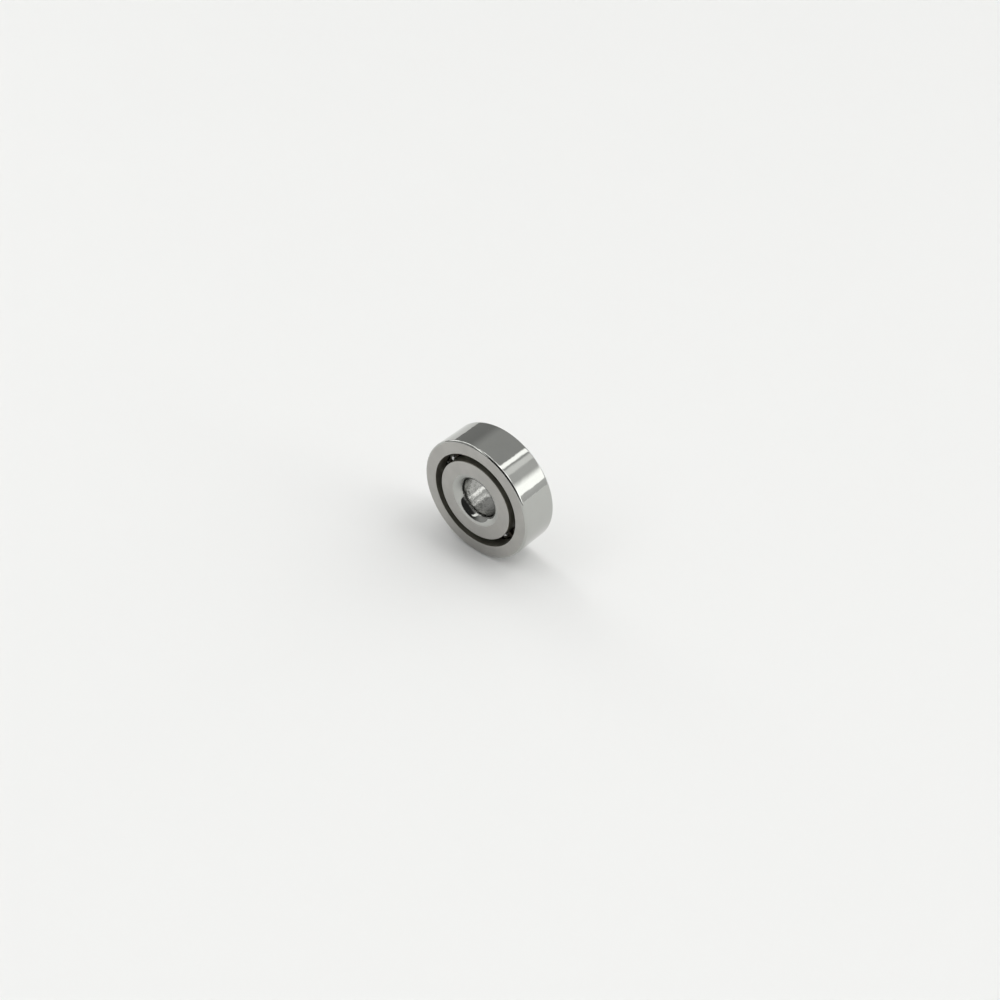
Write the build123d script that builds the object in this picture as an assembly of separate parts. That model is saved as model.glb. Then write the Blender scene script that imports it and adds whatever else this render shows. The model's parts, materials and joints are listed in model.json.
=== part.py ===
# Open, single-row, deep-groove ball bearing.
# Millimetres, +Z up. The bearing axis is Y and the origin is the middle of the bearing,
# so it stands on its rim with its front face towards -Y.
# Pieces: outer ring, inner ring, one-piece crown cage, and a row of balls.

import math
import os

from build123d import *

# Boundary dimensions
outside_diameter = 16.0
bore_diameter = 5.0
ring_width = 5.0

# Ball row
ball_diameter = 1.588
ball_count = 12
first_ball_angle = 2.5            # degrees from +X towards +Z

# Races
outer_race_wall = 1.376           # steel left outside the deepest line of the outer race
race_clearance = 0.01             # from each ball to each race
race_ease = 0.046                 # how much larger the groove's radius is than the ball's
shoulder_height = 0.328           # depth of each race below its shoulder

# Edges of the rings
rim_corner_radius = 0.3           # outer ring, outside corners
bore_mouth_radius = 1.2           # inner ring, generous lead-in round the bore
outer_shoulder_edge = 0.06        # chamfer on the outer ring, beside the cage
inner_shoulder_edge = 0.1         # chamfer on the inner ring, beside the cage

# Cage
cage_clearance = 0.12             # from the cage to the shoulders of the rings
pocket_clearance = 0.05           # from each ball to its pocket
cage_back_rim = 0.6               # closed rim behind the pockets
horn_reach = 0.5                  # how far the horns pass the ball centres
horn_thickness = 0.3              # each horn beside its ball, at the pitch circle
notch_floor = 0.1                 # bottom of the notches, behind the ball centres
cage_edge = 0.08                  # chamfer round the cage's back rim

# Worked out from the dimensions above
outside_radius = outside_diameter / 2
bore_radius = bore_diameter / 2
ball_radius = ball_diameter / 2
pitch_radius = outside_radius - outer_race_wall - race_clearance - ball_radius
race_groove_radius = ball_radius + race_ease
outer_race_radius = pitch_radius + ball_radius + race_clearance
inner_race_radius = pitch_radius - ball_radius - race_clearance
outer_shoulder_radius = outer_race_radius - shoulder_height
inner_shoulder_radius = inner_race_radius + shoulder_height
pocket_radius = ball_radius + pocket_clearance
ball_step = 360 / ball_count

same_radius = 1e-6                # two circles closer than this are one circle


def ring_blank(outer_radius, inner_radius, length):
    """Plain ring about the Y axis, centred on the origin."""
    return Rot(X=90) * (Cylinder(outer_radius, length) - Cylinder(inner_radius, length))


def edges_of_radius(solid, radius):
    """The end circles of a ring that have this radius."""
    circles = solid.edges().filter_by(GeomType.CIRCLE)
    return circles.filter_by(lambda circle: abs(circle.radius - radius) < same_radius)


def race_cutter(groove_centre_radius):
    """Torus that cuts a race: a groove all the way round the Y axis."""
    return Rot(X=90) * Torus(groove_centre_radius, race_groove_radius)


def make_outer_ring():
    ring = ring_blank(outside_radius, outer_shoulder_radius, ring_width)
    ring = fillet(edges_of_radius(ring, outside_radius), rim_corner_radius)
    ring = chamfer(edges_of_radius(ring, outer_shoulder_radius), outer_shoulder_edge)
    return ring - race_cutter(outer_race_radius - race_groove_radius)


def make_inner_ring():
    ring = ring_blank(inner_shoulder_radius, bore_radius, ring_width)
    ring = fillet(edges_of_radius(ring, bore_radius), bore_mouth_radius)
    ring = chamfer(edges_of_radius(ring, inner_shoulder_radius), inner_shoulder_edge)
    return ring - race_cutter(inner_race_radius + race_groove_radius)


def on_pitch_circle(angle):
    """Place on the ball row at this angle, with its own X pointing away from the Y axis."""
    return Rot(Y=-angle) * Pos(pitch_radius, 0, 0)


def ball_angle(index):
    return first_ball_angle + index * ball_step


def make_ball(index):
    return on_pitch_circle(ball_angle(index)) * Sphere(ball_radius)


def make_notch(index):
    """Round-bottomed slot that parts the two horns between one ball and the next."""
    half_spacing = pitch_radius * math.sin(math.radians(ball_step / 2))
    notch_width = 2 * (half_spacing - pocket_radius - horn_thickness)
    slot_length = notch_floor + horn_reach
    slot = Pos(0, -slot_length / 2, 0) * Box(2 * pocket_radius, slot_length, notch_width)
    floor = Rot(Y=90) * Cylinder(notch_width / 2, 2 * pocket_radius)
    return on_pitch_circle(ball_angle(index + 0.5)) * Pos(0, notch_floor, 0) * (slot + floor)


def make_cage():
    cage_length = horn_reach + pocket_radius + cage_back_rim
    cage_outer_radius = outer_shoulder_radius - cage_clearance
    cage_inner_radius = inner_shoulder_radius + cage_clearance
    cage = ring_blank(cage_outer_radius, cage_inner_radius, cage_length)
    cage = chamfer(cage.edges().filter_by(GeomType.CIRCLE).group_by(Axis.Y)[-1], cage_edge)
    cage = Pos(0, cage_length / 2 - horn_reach, 0) * cage
    for index in range(ball_count):
        cage -= on_pitch_circle(ball_angle(index)) * Sphere(pocket_radius)
        cage -= make_notch(index)
    return cage


def write_node(shape, node):
    export_step(shape, f"parts/{node}.step")


os.makedirs("parts", exist_ok=True)
write_node(make_outer_ring(), "outer_ring")
write_node(make_inner_ring(), "inner_ring")
write_node(make_cage(), "cage")
for index in range(ball_count):
    write_node(make_ball(index), f"ball_{index + 1:02d}")
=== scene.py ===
import json
import math

import bmesh
import bpy
import numpy as np
from mathutils import Matrix, Vector


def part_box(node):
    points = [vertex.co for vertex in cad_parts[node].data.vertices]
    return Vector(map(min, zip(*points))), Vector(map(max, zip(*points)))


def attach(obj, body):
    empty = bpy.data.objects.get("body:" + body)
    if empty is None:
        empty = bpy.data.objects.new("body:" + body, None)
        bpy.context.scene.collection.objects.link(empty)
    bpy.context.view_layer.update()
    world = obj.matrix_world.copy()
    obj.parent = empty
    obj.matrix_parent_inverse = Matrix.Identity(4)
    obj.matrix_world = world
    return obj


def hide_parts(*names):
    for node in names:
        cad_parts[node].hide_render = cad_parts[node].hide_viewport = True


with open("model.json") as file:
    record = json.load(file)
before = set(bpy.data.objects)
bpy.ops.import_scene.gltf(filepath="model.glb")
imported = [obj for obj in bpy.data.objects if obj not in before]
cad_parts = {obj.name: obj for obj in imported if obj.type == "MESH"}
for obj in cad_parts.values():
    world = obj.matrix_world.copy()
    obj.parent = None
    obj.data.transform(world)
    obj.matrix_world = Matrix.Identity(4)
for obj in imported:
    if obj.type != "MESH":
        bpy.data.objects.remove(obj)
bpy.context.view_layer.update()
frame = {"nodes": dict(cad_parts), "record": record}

mm = 0.001
fullTurn = 2 * math.pi
mounts = {mount["name"]: mount for mount in frame["record"]["mounts"]}
ballNames = sorted(name for name in frame["nodes"] if name.startswith("ball_"))


def nodeRadii(name):
    # distances from the bearing axis, which is Y, and heights along it, of a node's own points
    points = np.zeros(len(frame["nodes"][name].data.vertices) * 3, np.float32)
    frame["nodes"][name].data.vertices.foreach_get("co", points)
    points = points.reshape(-1, 3).astype(float)
    return np.hypot(points[:, 0], points[:, 2]), points[:, 1]


# Sizes of the bearing, all read from the frame
outerRadii, outerHeights = nodeRadii("outer_ring")
innerRadii = nodeRadii("inner_ring")[0]
cageRadii, cageHeights = nodeRadii("cage")
rimRadius = outerRadii.max()
halfWidth = outerHeights.max()
boreRadius = mounts["bore"]["dims"]["r_mm"] * mm
rimCorner = halfWidth - mounts["housing_seat"]["dims"]["length_mm"] * mm / 2
boreMouth = halfWidth - mounts["bore"]["dims"]["length_mm"] * mm / 2
raceGap = 0.01 * mm  # from a ball to either race
raceEase = 0.046 * mm  # how much larger the groove's radius is than the ball's
outerShoulder = outerRadii.min()
innerShoulder = innerRadii.max()


def ballPlace(name):
    low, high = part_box(name)
    return (low + high) / 2, (high.x - low.x) / 2


ballRadius = ballPlace(ballNames[0])[1]
pitchRadius = math.hypot(ballPlace(ballNames[0])[0].x, ballPlace(ballNames[0])[0].z)
print("frame: rim %.2f mm, bore %.2f mm, %d balls on %.2f mm" % (
    rimRadius / mm, boreRadius / mm, len(ballNames), pitchRadius / mm))


def makePiece(name, points, faces, body, nodes, material):
    # puts points and faces in a new mesh, welds its seams, smooths it and rides it on its body
    mesh = bpy.data.meshes.new(name)
    mesh.from_pydata(points.reshape(-1, 3).tolist(), [], faces.tolist())
    work = bmesh.new()
    work.from_mesh(mesh)
    bmesh.ops.remove_doubles(work, verts=work.verts, dist=1e-4 * mm)
    bmesh.ops.recalc_face_normals(work, faces=work.faces)
    work.to_mesh(mesh)
    work.free()
    mesh.shade_smooth()
    mesh.set_sharp_from_angle(angle=math.radians(32))
    piece = bpy.data.objects.new(name, mesh)
    bpy.context.scene.collection.objects.link(piece)
    mesh.materials.append(material)
    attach(piece, body)
    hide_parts(*nodes)
    print("made", name, len(mesh.polygons), "faces")
    return piece


def gridFaces(rows, columns, wrapRows=False, wrapColumns=False):
    # four-sided faces of a grid of points, closed on itself where it wraps
    i, j = np.meshgrid(np.arange(rows if wrapRows else rows - 1),
                       np.arange(columns if wrapColumns else columns - 1), indexing="ij")
    nextI, nextJ = (i + 1) % rows, (j + 1) % columns
    corners = (i * columns + j, nextI * columns + j, nextI * columns + nextJ, i * columns + nextJ)
    return np.stack([corner.ravel() for corner in corners], -1)


def straight(start, end, count=9):
    # points from start towards end, closer together near both ends: start + (end - start)(1 - cos t) / 2
    share = (1 - np.cos(np.linspace(0, math.pi, count))) / 2
    return np.array(start) + np.outer(share, np.subtract(end, start))


def arc(centre, radius, fromDegrees, toDegrees, count=13):
    # centre + radius (cos t, sin t), with t even between the two angles
    turn = np.radians(np.linspace(fromDegrees, toDegrees, count))
    return np.array(centre) + radius * np.stack([np.cos(turn), np.sin(turn)], -1)


def joinRuns(*runs):
    # one closed outline from runs that share their end points
    return np.concatenate([run[:-1] for run in runs])


def spin(outline, steps):
    # carries an outline of (radius, height) round the Y axis: (r cos t, h, r sin t)
    turn = np.arange(steps) * fullTurn / steps
    points = np.stack([np.outer(np.cos(turn), outline[:, 0]),
                       np.broadcast_to(outline[:, 1], (steps, len(outline))),
                       np.outer(np.sin(turn), outline[:, 0])], -1)
    return points, gridFaces(steps, len(outline), True, True)


class Wire:
    # one socket of a node tree; arithmetic on it adds Math nodes
    def __init__(self, tree, socket=None):
        self.tree = tree
        self.socket = socket

    def node(self, kind, settings=None, inputs=None, output=0):
        # adds a node, sets it up, sets or links its sockets, and wraps one of its outputs
        made = self.tree.nodes.new(kind)
        for name, value in (settings or {}).items():
            setattr(made, name, value)
        for name, value in (inputs or {}).items():
            if isinstance(value, Wire):
                self.tree.links.new(value.socket, made.inputs[name])
            else:
                made.inputs[name].default_value = value
        return Wire(self.tree, made.outputs[output])

    def math(self, operation, *values):
        return self.node("ShaderNodeMath", {"operation": operation}, dict(enumerate(values)))

    def __add__(self, other):
        return self.math("ADD", self, other)

    def __radd__(self, other):
        return self.math("ADD", other, self)

    def __sub__(self, other):
        return self.math("SUBTRACT", self, other)

    def __rsub__(self, other):
        return self.math("SUBTRACT", other, self)

    def __mul__(self, other):
        return self.math("MULTIPLY", self, other)

    def __rmul__(self, other):
        return self.math("MULTIPLY", other, self)

    def step(self, low, high):
        # 0 below low, 1 above high, and a smooth rise between them
        return self.node("ShaderNodeMapRange", {"interpolation_type": "SMOOTHSTEP"},
                         {"Value": self, "From Min": low, "From Max": high})

    def band(self, low, high, soft):
        # 1 between low and high, falling to 0 over soft on each side
        return self.step(low - soft, low + soft) * (1 - self.step(high - soft, high + soft))

    def blend(self, color, other):
        # mixes two colors, with this socket as the share of the second
        return self.node("ShaderNodeMix", {"data_type": "RGBA"}, {"Factor": self, 6: color, 7: other}, 2)


def objectPlace(wire):
    return wire.node("ShaderNodeTexCoord", output=3)


def axes(wire, vector):
    # x, y and z of a vector
    return [wire.node("ShaderNodeSeparateXYZ", inputs={0: vector}, output=axis) for axis in range(3)]


def roundAxis(wire, place):
    # y, the distance from the Y axis, sqrt(x x + z z), and the angle round it, atan(z / x)
    x, y, z = axes(wire, place)
    return y, wire.math("SQRT", x * x + z * z), wire.math("ARCTAN2", z, x)


def noise(wire, vector, scale, detail=3.0, rough=0.55):
    return wire.node("ShaderNodeTexNoise", inputs={
        "Vector": vector, "Scale": scale, "Detail": detail, "Roughness": rough})


def stretchedNoise(wire, place, turn, stretch, scale):
    # noise of the place turned by three angles and drawn together along Z, so its grain runs in one direction
    drawn = wire.node("ShaderNodeMapping", inputs={
        "Vector": place, "Rotation": turn, "Scale": (1, 1, stretch)})
    return noise(wire, drawn, scale)


def tone(color, share=1.0):
    # a color made lighter or darker, with the alpha that a color socket needs
    return tuple(channel * share for channel in color) + (1,)


def newMaterial(name):
    material = bpy.data.materials.new(name)
    material.use_nodes = True
    tree = material.node_tree
    shader = next(node for node in tree.nodes if node.type == "BSDF_PRINCIPLED")
    return material, Wire(tree), shader


def plug(wire, shader, **values):
    # links or sets the shader's sockets; baseColor stands for Base Color, and so on
    names = {"baseColor": "Base Color", "roughness": "Roughness", "metallic": "Metallic", "normal": "Normal",
             "specular": "Specular IOR Level"}
    for name, value in values.items():
        socket = shader.inputs[names[name]]
        if isinstance(value, Wire):
            wire.tree.links.new(value.socket, socket)
        else:
            socket.default_value = value


def bumpOf(wire, height, strength, distance):
    return wire.node("ShaderNodeBump", inputs={"Height": height, "Strength": strength, "Distance": distance})


steelLook = {
    "polished": (0.478, 0.483, 0.463),
    "ground": (0.438, 0.430, 0.410),
    "honed": (0.40, 0.40, 0.385),
    "oiled": (0.25, 0.24, 0.20),
    "groundEdge": (halfWidth - 0.03 * mm, halfWidth - 0.004 * mm),
    "honedEdge": (boreRadius + 0.02 * mm, boreRadius + 0.34 * mm),
    "oiledMargin": 0.04 * mm,
    "oiledSoft": 0.03 * mm,
    "polishedRoughness": 0.06,
    "groundRoughness": 0.34,
    "honedRoughness": 0.17,
    "oiledRougher": 0.3,
    "oiledMetallic": 0.55,
    "grinding": ({"turn": 28, "stretch": 22, "scale": 900.0}, {"turn": -35, "stretch": 26, "scale": 800.0}),
    "cloudScale": 420.0,
    "ringScale": 220.0,
    "ringStretch": {"across": 60, "round": 0.02},
    "waveScale": 650.0,
    "pitScale": 1300.0,
    "grindingHeight": 0.06,
    "ringHeight": 0.004,
    "waveHeight": 1.05,
    "pitHeight": 5.0,
    "bumpDistance": 0.01 * mm,
}


def ringSteel(name):
    # four finishes by place: ground where |y| reaches the side faces, honed on the bore, oiled between the
    # shoulders of the races, polished elsewhere; each mask is a smooth step of |y| or of the distance from
    # the axis. Grinding lines are noise stretched along two crossed directions; polishing lines are noise of
    # distance and y that changes slowly round the rim; the bore's pits are smooth steps of a finer noise.
    # The bump's height is the sum of each one times its own height
    look = steelLook
    material, wire, shader = newMaterial(name)
    place = objectPlace(wire)
    y, distance, angle = roundAxis(wire, place)
    ground = wire.math("ABSOLUTE", y).step(*look["groundEdge"])
    honed = 1 - distance.step(*look["honedEdge"])
    oiled = (1 - ground) * distance.band(
        innerShoulder - look["oiledMargin"], outerShoulder + look["oiledMargin"], look["oiledSoft"])
    lines = 0.5 * sum(
        stretchedNoise(wire, place, (0, math.radians(line["turn"]), 0), line["stretch"], line["scale"])
        for line in look["grinding"])
    cloud = noise(wire, place, look["cloudScale"], 4.0)
    across, along = look["ringStretch"]["across"], look["ringStretch"]["round"]
    turned = wire.node("ShaderNodeCombineXYZ", inputs={0: distance * across, 1: y * across, 2: angle * along})
    rings = noise(wire, turned, look["ringScale"], 4.0, 0.7)
    patch = noise(wire, place, look["pitScale"], 3.0, 0.6)
    wave = noise(wire, place, look["waveScale"], 2.0)
    groundColor = cloud.step(0.3, 0.7).blend(tone(look["ground"], 0.95), tone(look["ground"], 1.05))
    polishedColor = cloud.step(0.35, 0.65).blend(tone(look["polished"], 0.975), tone(look["polished"]))
    honedColor = patch.step(0.5, 0.62).blend(tone(look["honed"]), tone(look["honed"], 0.72))
    oiledColor = cloud.step(0.35, 0.65).blend(tone(look["oiled"], 0.8), tone(look["oiled"], 1.1))
    color = ground.blend(oiled.blend(honed.blend(polishedColor, honedColor), oiledColor), groundColor)
    polishedRough = look["polishedRoughness"] + 0.06 * (rings - 0.5) + 0.05 * (cloud - 0.5)
    groundRough = look["groundRoughness"] + 0.12 * (lines - 0.5) + 0.08 * (cloud - 0.5)
    honedRough = look["honedRoughness"] + 0.14 * (patch - 0.5)
    smooth = polishedRough + honed * (honedRough - polishedRough)
    rough = smooth + ground * (groundRough - smooth) + oiled * look["oiledRougher"]
    bright = rings * look["ringHeight"] + wave * look["waveHeight"] + honed * patch * look["pitHeight"]
    height = ground * lines * look["grindingHeight"] + (1 - ground) * bright
    plug(wire, shader, baseColor=color, metallic=1 - oiled * (1 - look["oiledMetallic"]), roughness=rough,
         normal=bumpOf(wire, height, 1.0, look["bumpDistance"]))
    return material


outerRing = {
    "steps": 288,
    "shoulderEdge": 0.06 * mm,
    "flatPoints": 13,
    "edgePoints": 7,
    "racePoints": 33,
}


def raceOutline(shoulder, deepest, side, count):
    # the groove's arc, from one meeting of its circle with the shoulder to the other: the arc cosine of the
    # shoulder's distance from the circle's centre over the circle's radius; side is 1 if it opens inwards
    groove = ballRadius + raceEase
    centre = (deepest - side * groove, 0)
    reach = math.degrees(math.acos((shoulder - centre[0]) * side / groove))
    middle = 0 if side > 0 else 180
    return arc(centre, groove, middle - reach, middle + reach, count)


def makeOuterRing(material):
    # side faces, rounded rim corners and rim outside, shoulders and race inside, as one outline carried round
    # the Y axis: r rim radius, h half width, c corner radius, e edge radius, s shoulder radius
    r, h, c, e, s = rimRadius, halfWidth, rimCorner, outerRing["shoulderEdge"], outerShoulder
    deepest = pitchRadius + ballRadius + raceGap
    flat, edge = outerRing["flatPoints"], outerRing["edgePoints"]
    race = raceOutline(s, deepest, 1, outerRing["racePoints"])
    outline = joinRuns(
        straight((s + e, h), (r - c, h), flat), arc((r - c, h - c), c, 90, 0),
        straight((r, h - c), (r, c - h), flat),
        arc((r - c, c - h), c, 0, -90), straight((r - c, -h), (s + e, -h), flat),
        arc((s + e, e - h), e, 270, 180, edge), straight((s, e - h), race[0]), race,
        straight(race[-1], (s, h - e)), arc((s + e, h - e), e, 180, 90, edge))
    points, faces = spin(outline, outerRing["steps"])
    return makePiece("outerRing", points, faces, "outer_ring", ["outer_ring"], material)


innerRing = {
    "steps": 288,
    "shoulderEdge": 0.1 * mm,
    "flatPoints": 13,
    "edgePoints": 7,
    "mouthPoints": 41,
    "racePoints": 33,
}


def makeInnerRing(material):
    # the same with the race outside: b bore radius, c the bore mouth's rounding
    b, h, c, e, s = boreRadius, halfWidth, boreMouth, innerRing["shoulderEdge"], innerShoulder
    deepest = pitchRadius - ballRadius - raceGap
    flat, edge, mouth = innerRing["flatPoints"], innerRing["edgePoints"], innerRing["mouthPoints"]
    race = raceOutline(s, deepest, -1, innerRing["racePoints"])
    outline = joinRuns(
        straight((b + c, h), (s - e, h), flat), arc((s - e, h - e), e, 90, 0, edge),
        straight((s, h - e), race[0]), race,
        straight(race[-1], (s, e - h)), arc((s - e, e - h), e, 0, -90, edge),
        straight((s - e, -h), (b + c, -h), flat),
        arc((b + c, c - h), c, 270, 180, mouth), straight((b, c - h), (b, h - c), flat),
        arc((b + c, h - c), c, 180, 90, mouth))
    points, faces = spin(outline, innerRing["steps"])
    return makePiece("innerRing", points, faces, "inner_ring", ["inner_ring"], material)


ballLook = {
    "rows": 40,
    "columns": 80,
    "color": (0.56, 0.565, 0.56),
    "roughness": 0.035,
    "hairTurns": ((0.5, 0.2, 0.9), (1.1, 0.7, 0.1)),
    "hairStretch": 18,
    "hairScale": 2500.0,
    "cloudScale": 1500.0,
    "bumpDistance": 0.0005 * mm,
}


def ballSteel():
    # lapped steel: a mirror whose roughness rises a little along two crossed sets of hairlines, each a smooth
    # step of stretched noise, and whose color follows a soft cloud
    material, wire, shader = newMaterial("lappedBallSteel")
    place = objectPlace(wire)
    hairs = sum(
        stretchedNoise(wire, place, turn, ballLook["hairStretch"], ballLook["hairScale"]).step(0.6, 0.75)
        for turn in ballLook["hairTurns"])
    cloud = noise(wire, place, ballLook["cloudScale"])
    color = cloud.step(0.35, 0.65).blend(tone(ballLook["color"], 0.96), tone(ballLook["color"]))
    plug(wire, shader, baseColor=color, metallic=1.0, roughness=ballLook["roughness"] + hairs * 0.05,
         normal=bumpOf(wire, hairs, 0.1, ballLook["bumpDistance"]))
    return material


def makeBall(name, material):
    # centre + R (sin v cos u, cos v, sin v sin u), with its poles along the bearing axis
    centre, radius = ballPlace(name)
    v = np.linspace(0, math.pi, ballLook["rows"])[:, None]
    u = (np.arange(ballLook["columns"]) * fullTurn / ballLook["columns"])[None, :]
    shape = np.broadcast_arrays(np.sin(v) * np.cos(u), np.cos(v) + 0 * u, np.sin(v) * np.sin(u))
    points = np.array(centre) + radius * np.stack(shape, -1)
    faces = gridFaces(ballLook["rows"], ballLook["columns"], wrapColumns=True)
    return makePiece("ball" + name[-2:], points, faces, name, [name], material)


cageShape = {
    "back": cageHeights.max(),
    "tip": cageHeights.min(),
    "outside": cageRadii.max(),
    "inside": cageRadii.min(),
    "pocketClearance": 0.05 * mm,
    "hornThickness": 0.3 * mm,
    "notchFloor": 0.1 * mm,
    "edgeRounding": 0.035 * mm,
    "pocketRows": 25,
    "wallRows": 9,
    "floorRows": 8,
    "rows": 33,
    "across": 9,
    "layers": 9,
}
cageLook = {
    "dark": (0.040, 0.031, 0.023),
    "light": (0.105, 0.078, 0.055),
    "roughness": 0.55,
    "cloudScale": 700.0,
    "fibreScale": 1800.0,
    "grainScale": 9000.0,
    "bumpDistance": 0.006 * mm,
}


def cageResin():
    # dark brown moulded resin: its color follows a soft cloud mixed with fibres, noise stretched round the
    # cage; roughness follows the fibres, and the bump is the fibres and half of a fine grain
    material, wire, shader = newMaterial("cageResin")
    place = objectPlace(wire)
    y, distance, angle = roundAxis(wire, place)
    flow = wire.node("ShaderNodeCombineXYZ", inputs={0: distance * 3, 1: y * 3, 2: angle * pitchRadius * 0.4})
    cloud = noise(wire, place, cageLook["cloudScale"], 4.0)
    fibres = noise(wire, flow, cageLook["fibreScale"], 4.0, 0.7)
    grain = noise(wire, place, cageLook["grainScale"], 2.0)
    mottle = (cloud * 0.6 + fibres * 0.4).step(0.35, 0.68)
    plug(wire, shader, baseColor=mottle.blend(tone(cageLook["dark"]), tone(cageLook["light"])),
         roughness=cageLook["roughness"] + 0.2 * (fibres - 0.5), specular=0.3,
         normal=bumpOf(wire, grain * 0.5 + fibres, 0.4, cageLook["bumpDistance"]))
    return material


def cageSides(radius):
    # the two edges of half a pocket's width at this radius, as (angle from the ball, height) pairs:
    # left is the ball's pocket, a slice of a sphere, and right is the notch between two horns
    pocket = ballRadius + cageShape["pocketClearance"]
    halfStep = math.pi / len(ballNames)
    notch = pitchRadius * math.sin(halfStep) - pocket - cageShape["hornThickness"]
    tip, back, floor = cageShape["tip"], cageShape["back"], cageShape["notchFloor"]
    reach = math.sqrt(pocket ** 2 - (radius - pitchRadius) ** 2)
    turn = np.linspace(math.acos(-tip / reach), math.pi, cageShape["pocketRows"])
    height = -reach * np.cos(turn)
    chord = np.maximum(reach ** 2 - height ** 2, 0)  # squared, from the middle to the pocket's wall
    swing = 2 * np.arcsin(np.sqrt(chord / (4 * radius * pitchRadius)))
    below = cageShape["rows"] - cageShape["pocketRows"]
    left = np.stack([np.append(swing, np.zeros(below)),
                     np.append(height, np.linspace(reach, back, below + 1)[1:])], -1)
    wallHeight = np.linspace(tip, floor, cageShape["wallRows"])
    bow = np.linspace(0, math.pi / 2, cageShape["floorRows"] + 1)[1:]
    rest = cageShape["rows"] - cageShape["wallRows"] - cageShape["floorRows"]
    offset = np.concatenate([np.full(len(wallHeight), notch), notch * np.cos(bow), np.zeros(rest)])
    rightHeight = np.concatenate([wallHeight, floor + notch * np.sin(bow),
                                  np.linspace(floor + notch, back, rest + 1)[1:]])
    right = np.stack([halfStep - np.arcsin(offset / radius), rightHeight], -1)
    return left, right


def makeCage(material):
    # block of points: rows from horn tip to back rim, across from pocket to notch, layers from bore to
    # outside; angle and height run straight from the pocket's edge to the notch's edge
    share = np.linspace(0, 1, cageShape["across"])[None, :, None]
    layers = []
    for radius in np.linspace(cageShape["inside"], cageShape["outside"], cageShape["layers"]):
        left, right = cageSides(radius)
        flat = left[:, None, :] * (1 - share) + right[:, None, :] * share
        layers.append(np.concatenate([flat, np.full(flat.shape[:2] + (1,), radius)], -1))
    block = np.stack(layers, 2)
    pocketEnd, notchEnd = cageShape["pocketRows"], cageShape["wallRows"] + cageShape["floorRows"]
    skins = [block[:, :, 0], block[:, :, -1], block[0], block[-1], block[:pocketEnd, 0], block[:notchEnd, -1]]
    points, faces, count = [], [], 0
    for name in ballNames:
        centre = ballPlace(name)[0]
        middle = math.atan2(centre.z, centre.x)
        for side in (1, -1):
            for skin in skins:
                angle = middle + side * skin[..., 0]
                radius = skin[..., 2]
                points.append(np.stack([radius * np.cos(angle), skin[..., 1], radius * np.sin(angle)], -1))
                faces.append(gridFaces(*skin.shape[:2]) + count)
                count += angle.size
    allPoints = np.concatenate([part.reshape(-1, 3) for part in points])
    piece = makePiece("crownCage", allPoints, np.concatenate(faces), "cage", ["cage"], material)
    rounding = piece.modifiers.new("edgeRounding", "BEVEL")
    rounding.width = cageShape["edgeRounding"]
    rounding.segments = 2
    rounding.limit_method = "ANGLE"
    rounding.angle_limit = math.radians(40)
    return piece


ringMaterial = ringSteel("ringSteel")
makeOuterRing(ringMaterial)
makeInnerRing(ringMaterial)
ballMaterial = ballSteel()
for ballName in ballNames:
    makeBall(ballName, ballMaterial)
makeCage(cageResin())
print("pieces done")


studio = {
    "floorSize": 400 * rimRadius,
    "floorColor": (0.80, 0.80, 0.795),
    "backdrop": 0.84,
    "frontWall": 0.40,
    "tint": (0.995, 1.0, 0.985),
    "behindEdge": (-0.05, 0.2),  # of y: in front of the bearing below, behind it above
    "darkSide": 0.032,
    "darkMiddle": (0.28, -0.89, 0.36),
    "darkEdge": (math.cos(math.radians(64)), math.cos(math.radians(30))),
    "frontBox": {"from": 110, "to": 124, "soft": 2.5, "low": -0.86, "high": -0.12, "ends": 0.03,
                 "strength": 1.5},
    "leftWall": 0.28,
    "ceiling": {"from": 124, "to": 146, "strength": 0.17},  # added to the right of this fade
    "rightWall": {"from": 60, "to": 66, "strength": 0.25},  # added to the right of this fade
    "wobble": {"degrees": 2.0, "scale": 9.0},  # of the boxes' edges
    "stripBox": {"from": 66.4, "to": 73.4, "soft": 1.3, "strength": 1.6},
    "secondStrip": {"from": 52.0, "to": 62.4, "soft": 2.2, "strength": 0.42},
    "keyBox": {"from": 11.7, "to": 31.0, "soft": 1.0, "fade": 6.5, "strength": 1.4},
    "gap": {"from": 5.0, "to": 11.4, "soft": 1.0, "strength": 0.05},
    "sideGlow": {"from": 4, "to": 172, "soft": 8, "low": 0.06, "high": 0.36, "ends": 0.08, "strength": 2.9},
    "glowPatches": {"scale": 3.0, "low": 0.35, "high": 0.6},
    "sun": {"strength": 1.13, "degrees": 165, "from": (0.35, 0.3, 1)},
}


def makeFloor():
    # pale paper: two near colors mixed by a very soft cloud, almost no gloss
    half = studio["floorSize"] / 2
    corners = [(-half, -half), (half, -half), (half, half), (-half, half)]
    mesh = bpy.data.meshes.new("floor")
    mesh.from_pydata([(x, y, -rimRadius) for x, y in corners], [], [(0, 1, 2, 3)])
    floor = bpy.data.objects.new("floor", mesh)
    bpy.context.scene.collection.objects.link(floor)
    material, wire, shader = newMaterial("palePaper")
    cloud = noise(wire, objectPlace(wire), 30.0, 2.0)
    color = cloud.blend(tone(studio["floorColor"], 0.99), tone(studio["floorColor"]))
    plug(wire, shader, baseColor=color, roughness=0.6, specular=0.2)
    mesh.materials.append(material)


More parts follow.
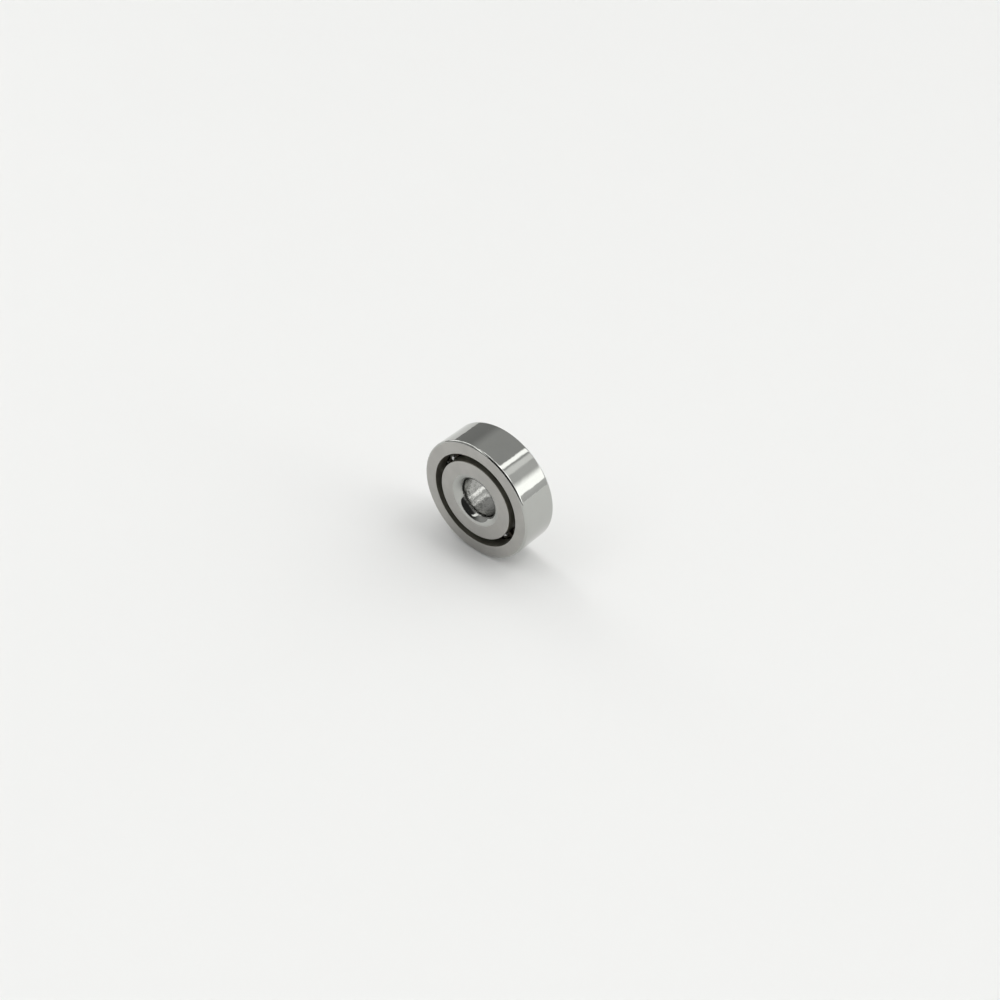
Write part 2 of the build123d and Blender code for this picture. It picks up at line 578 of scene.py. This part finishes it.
def makeWorld():
    # brightness by the angle round the Y axis behind the bearing: dim at the left, brighter overhead and
    # right, with two soft boxes, a gap and a key box, and a patchy glow beside them; in front is an even wall
    # with a box and a round dark opening, where the cosine between the direction and the opening's middle is
    # high. The camera itself sees a pale wall
    world = bpy.data.worlds.new("studio")
    bpy.context.scene.world = world
    world.use_nodes = True
    background = next(node for node in world.node_tree.nodes if node.type == "BACKGROUND")
    wire = Wire(world.node_tree)
    direction = wire.node("ShaderNodeTexCoord", output=0)
    x, y, z = axes(wire, direction)
    angle = wire.math("ARCTAN2", z, x) * math.degrees(1)
    wobble = studio["wobble"]
    wavy = angle + wobble["degrees"] * (noise(wire, direction, wobble["scale"], 3.0) - 0.5)

    def softBox(box):
        # a box between two angles round the Y axis and two values of y
        across = angle.band(box["from"], box["to"], box["soft"])
        return box["strength"] * across * y.band(box["low"], box["high"], box["ends"])

    wall = studio["leftWall"]
    for side in (studio["ceiling"], studio["rightWall"]):
        wall = wall + side["strength"] * (1 - angle.step(side["from"], side["to"]))
    for box in (studio["stripBox"], studio["secondStrip"], studio["gap"]):
        wall = wall + box["strength"] * wavy.band(box["from"], box["to"], box["soft"])
    key = studio["keyBox"]
    keyStart = angle.step(key["from"] - key["soft"], key["from"] + key["soft"])
    keyEnd = 1 - wavy.step(key["to"] - key["fade"], key["to"] + key["fade"])
    wall = wall + key["strength"] * keyStart * keyEnd
    patches = studio["glowPatches"]
    glow = softBox(studio["sideGlow"]) \
        * noise(wire, direction, patches["scale"], 2.0).step(patches["low"], patches["high"])
    middle = Vector(studio["darkMiddle"]).normalized()
    dark = (x * middle.x + y * middle.y + z * middle.z).step(*studio["darkEdge"])
    frontWall = studio["frontWall"] - (studio["frontWall"] - studio["darkSide"]) * dark
    behind = y.step(*studio["behindEdge"])
    light = behind * wall + (1 - behind) * frontWall + softBox(studio["frontBox"]) + glow
    cameraRay = wire.node("ShaderNodeLightPath")
    strength = light + cameraRay * (studio["backdrop"] - light)
    wire.tree.links.new(strength.socket, background.inputs["Strength"])
    background.inputs["Color"].default_value = tone(studio["tint"])


def makeSun():
    # an overhead light as wide as a ceiling, so its shadows are soft; polished steel doesn't mirror it
    lamp = bpy.data.lights.new("ceilingLight", "SUN")
    lamp.energy = studio["sun"]["strength"]
    lamp.angle = math.radians(studio["sun"]["degrees"])
    holder = bpy.data.objects.new("ceilingLight", lamp)
    holder.rotation_euler = Vector(studio["sun"]["from"]).to_track_quat("Z", "Y").to_euler()
    holder.visible_glossy = False
    bpy.context.scene.collection.objects.link(holder)


view = {
    "azimuth": math.radians(41.0),
    "elevation": math.radians(40.45),
    "distance": 20.894 * rimRadius,
    "right": 0.1699 * rimRadius,
    "up": -0.1407 * rimRadius,
    "lens": 50.4,
}


def makeCamera():
    # stands back from the bearing's middle along (sin a cos e, -cos a cos e, sin e) and is moved sideways,
    # unturned
    a, e = view["azimuth"], view["elevation"]
    back = Vector((math.sin(a) * math.cos(e), -math.cos(a) * math.cos(e), math.sin(e)))
    right = Vector((math.cos(a), math.sin(a), 0))
    up = back.cross(right)
    camera = bpy.data.objects.new("camera", bpy.data.cameras.new("camera"))
    camera.data.lens = view["lens"]
    camera.data.clip_start = 0.1 * rimRadius
    camera.data.clip_end = 4 * studio["floorSize"]
    place = back * view["distance"] + right * view["right"] + up * view["up"]
    turn = Matrix((right, up, back)).transposed()
    camera.matrix_world = Matrix.Translation(place) @ turn.to_4x4()
    bpy.context.scene.collection.objects.link(camera)
    bpy.context.scene.camera = camera


makeFloor()
makeWorld()
makeSun()
makeCamera()
bpy.context.scene.view_settings.view_transform = "Standard"
print("studio done")
